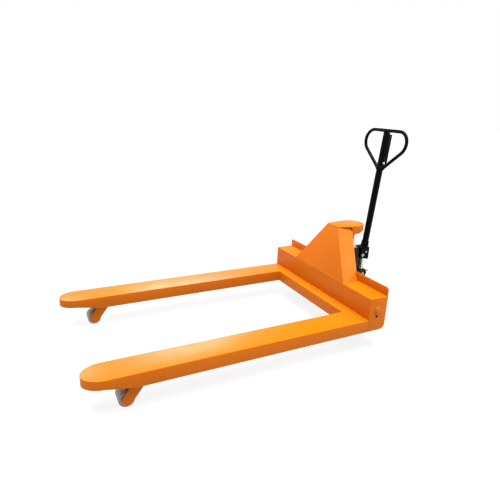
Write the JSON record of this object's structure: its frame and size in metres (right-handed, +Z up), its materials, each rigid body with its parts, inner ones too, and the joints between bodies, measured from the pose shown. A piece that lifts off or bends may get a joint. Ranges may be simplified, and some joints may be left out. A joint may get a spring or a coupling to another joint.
{
  "type": "hand pallet jack",
  "caption": "Wide low-lift hand pallet jack with two long round-tipped forks, a pyramid tower, a steerable hydraulic pump unit and a loop-handled tiller.",
  "frame": {"origin": "on the floor, under the middle of the whole jack", "axes": "+Z up, +Y from the forks towards the tiller, +X towards the left fork as seen by someone who holds the tiller"},
  "size_m": [1.0906, 2.1058, 1.2712],
  "materials": {
    "orange_paint": "gloss powder coat",
    "black_paint": "gloss",
    "cast_black": "painted casting, satin",
    "chrome": "hard chrome, polished",
    "steel": "zinc plated",
    "grey_polyurethane": "satin",
    "black_rubber": "matte"
  },
  "bodies": {
    "frame": {"fork_left": "orange_paint", "fork_right": "orange_paint", "cross_beam": "orange_paint", "heel_front": "orange_paint", "heel_top": "orange_paint", "heel_rear_flange": "orange_paint", "end_plate_left": "orange_paint", "end_plate_right": "orange_paint", "shaft_collar_left": "orange_paint", "shaft_collar_right": "orange_paint", "tower_front": "orange_paint", "tower_side_left": "orange_paint", "tower_side_right": "orange_paint", "tower_cap": "orange_paint", "ram_seat": "orange_paint", "ram": "chrome", "lever_pin_left": "steel", "lever_pin_right": "steel"},
    "rocker": {"rocker_shaft": "black_paint"},
    "push_rod_left": {"push_rod_left": "steel"},
    "push_rod_right": {"push_rod_right": "steel"},
    "load_lever_left": {"lever_left_outer": "orange_paint", "lever_left_inner": "orange_paint", "lever_spacer_left": "orange_paint", "rod_pin_left": "steel", "load_axle_left": "steel"},
    "load_roller_left": {"load_roller_left": "grey_polyurethane", "roller_core_left": "steel"},
    "load_lever_right": {"lever_right_outer": "orange_paint", "lever_right_inner": "orange_paint", "lever_spacer_right": "orange_paint", "rod_pin_right": "steel", "load_axle_right": "steel"},
    "load_roller_right": {"load_roller_right": "grey_polyurethane", "roller_core_right": "steel"},
    "lift_bracket": {"base_bracket": "cast_black", "thrust_bearing": "steel"},
    "pump": {"axle_block": "cast_black", "steer_axle": "steel", "pump_housing": "cast_black", "cylinder_gland": "steel", "tiller_pivot_pin": "steel", "filler_plug": "steel", "plunger_spring": "steel"},
    "steer_wheel_left": {"steer_tyre_left": "black_rubber", "steer_hub_left": "cast_black"},
    "steer_wheel_right": {"steer_tyre_right": "black_rubber", "steer_hub_right": "cast_black"},
    "plunger": {"pump_plunger": "chrome"},
    "valve_lever": {"valve_lever": "steel"},
    "tiller": {"tiller_yoke": "black_paint", "pressure_pin": "steel", "pressure_roller": "steel", "tiller_tube": "black_paint", "control_pin": "steel", "handle_loop": "black_paint"},
    "release_rod": {"release_rod": "steel"},
    "control_lever": {"control_lever": "black_paint"}
  },
  "joints": [
    {"name": "lift", "type": "slide", "parent": "frame", "child": "lift_bracket", "axis": [0, 0, 1], "range_m": [0, 0.107]},
    {"name": "steer", "type": "hinge", "parent": "lift_bracket", "child": "pump", "pos_m": [0, 0.84797, 0.198], "axis": [0, 0, 1], "range_deg": [-95, 95]},
    {"name": "steer_wheel_left_roll", "type": "hinge", "parent": "pump", "child": "steer_wheel_left", "pos_m": [0.049, 0.84797, 0.09], "axis": [1, 0, 0], "continuous": true},
    {"name": "steer_wheel_right_roll", "type": "hinge", "parent": "pump", "child": "steer_wheel_right", "pos_m": [-0.049, 0.84797, 0.09], "axis": [1, 0, 0], "continuous": true},
    {"name": "tiller_pump", "type": "hinge", "parent": "pump", "child": "tiller", "pos_m": [0, 0.91497, 0.407], "axis": [-1, 0, 0], "range_deg": [0, 78], "stiffness_Nm_per_rad": 25, "springref_deg": -17.19},
    {"name": "plunger_stroke", "type": "slide", "parent": "pump", "child": "plunger", "axis": [0, 0, -1], "range_m": [0, 0.0455], "deforming": ["plunger_spring"]},
    {"name": "control_pull", "type": "hinge", "parent": "tiller", "child": "control_lever", "pos_m": [0, 1.00931, 1.04667], "axis": [-1, 0, 0], "range_deg": [0, 14], "stiffness_Nm_per_rad": 5, "springref_deg": -17.19},
    {"name": "release_rod_pull", "type": "slide", "parent": "tiller", "child": "release_rod", "axis": [0, 0.0924, 0.9957], "range_m": [0, 0.0065]},
    {"name": "valve_lever_turn", "type": "hinge", "parent": "pump", "child": "valve_lever", "pos_m": [0, 0.98797, 0.255], "axis": [1, 0, 0], "range_deg": [0, 17.5]},
    {"name": "rocker_swing", "type": "hinge", "parent": "frame", "child": "rocker", "pos_m": [0, 0.62597, 0.2515], "axis": [1, 0, 0], "range_deg": [0, 27.2]},
    {"name": "push_rod_left_slide", "type": "slide", "parent": "frame", "child": "push_rod_left", "axis": [0, 1, 0], "range_m": [0, 0.035]},
    {"name": "load_lever_left_fold", "type": "hinge", "parent": "frame", "child": "load_lever_left", "pos_m": [0.459, -0.78203, 0.141], "axis": [-1, 0, 0], "range_deg": [0, 56.2]},
    {"name": "load_roller_left_roll", "type": "hinge", "parent": "load_lever_left", "child": "load_roller_left", "pos_m": [0.459, -0.85703, 0.04], "axis": [1, 0, 0], "continuous": true},
    {"name": "push_rod_right_slide", "type": "slide", "parent": "frame", "child": "push_rod_right", "axis": [0, 1, 0], "range_m": [0, 0.035]},
    {"name": "load_lever_right_fold", "type": "hinge", "parent": "frame", "child": "load_lever_right", "pos_m": [-0.459, -0.78203, 0.141], "axis": [-1, 0, 0], "range_deg": [0, 56.2]},
    {"name": "load_roller_right_roll", "type": "hinge", "parent": "load_lever_right", "child": "load_roller_right", "pos_m": [-0.459, -0.85703, 0.04], "axis": [1, 0, 0], "continuous": true}
  ],
  "couplings": [
    {"joint": "plunger_stroke", "follows": "tiller_pump", "m_per_rad": 0.033284},
    {"joint": "release_rod_pull", "follows": "control_pull", "m_per_rad": 0.0245},
    {"joint": "valve_lever_turn", "follows": "control_pull", "ratio": 1.2},
    {"joint": "rocker_swing", "follows": "lift", "rad_per_m": 4.4202},
    {"joint": "push_rod_left_slide", "follows": "lift", "ratio": 0.32625},
    {"joint": "load_lever_left_fold", "follows": "lift", "rad_per_m": 9.1568},
    {"joint": "push_rod_right_slide", "follows": "lift", "ratio": 0.32625},
    {"joint": "load_lever_right_fold", "follows": "lift", "rad_per_m": 9.1568}
  ]
}
